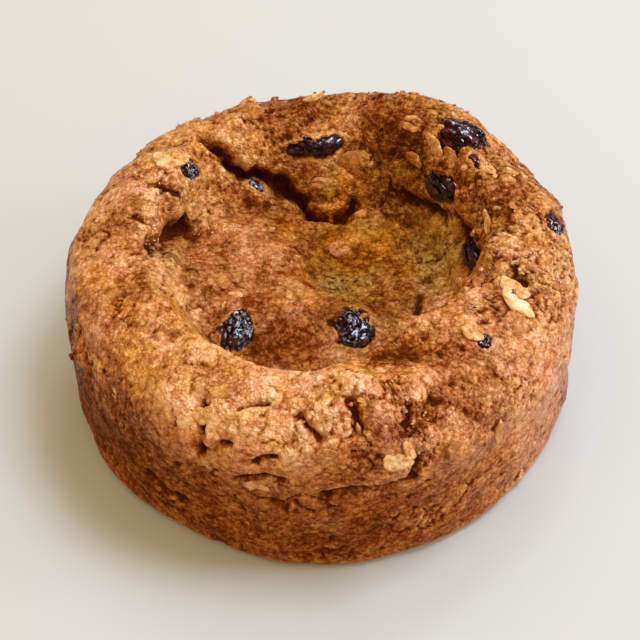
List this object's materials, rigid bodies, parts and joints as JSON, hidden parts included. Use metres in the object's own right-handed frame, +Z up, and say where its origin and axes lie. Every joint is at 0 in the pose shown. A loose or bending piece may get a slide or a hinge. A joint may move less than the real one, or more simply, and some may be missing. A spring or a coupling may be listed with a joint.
{
  "type": "oatmeal raisin cookie",
  "caption": "Thick round oatmeal cookie with a steep wall, an uneven rim, a sunken cracked middle and raisins set in the dough.",
  "frame": {"origin": "on the table under the middle of the cookie's box", "axes": "+Z up through the cookie; -Y towards the lowest part of the front rim, with the rugged lump on it"},
  "size_m": [0.0922, 0.0924, 0.0411],
  "materials": {
    "baked_dough": "matt, crumbly golden brown crust, darker on the wall",
    "oat_flake": "matt, pale tan toasted flake",
    "raisin_skin": "wrinkled, half glossy, nearly black purple"
  },
  "bodies": {
    "root": {"dough": "baked_dough", "raisin_floor_left": "raisin_skin", "raisin_floor_front": "raisin_skin", "raisin_back_long": "raisin_skin", "raisin_rim_back": "raisin_skin", "raisin_rim_slope": "raisin_skin", "raisin_rim_under": "raisin_skin", "raisin_right_hole": "raisin_skin", "raisin_rim_right": "raisin_skin", "raisin_edge_right": "raisin_skin", "raisin_chunk_left": "raisin_skin", "raisin_crack_side": "raisin_skin", "raisin_wall_left": "raisin_skin", "raisin_wall_back_a": "raisin_skin", "raisin_wall_back_b": "raisin_skin", "raisin_wall_back_c": "raisin_skin"}
  },
  "joints": []
}
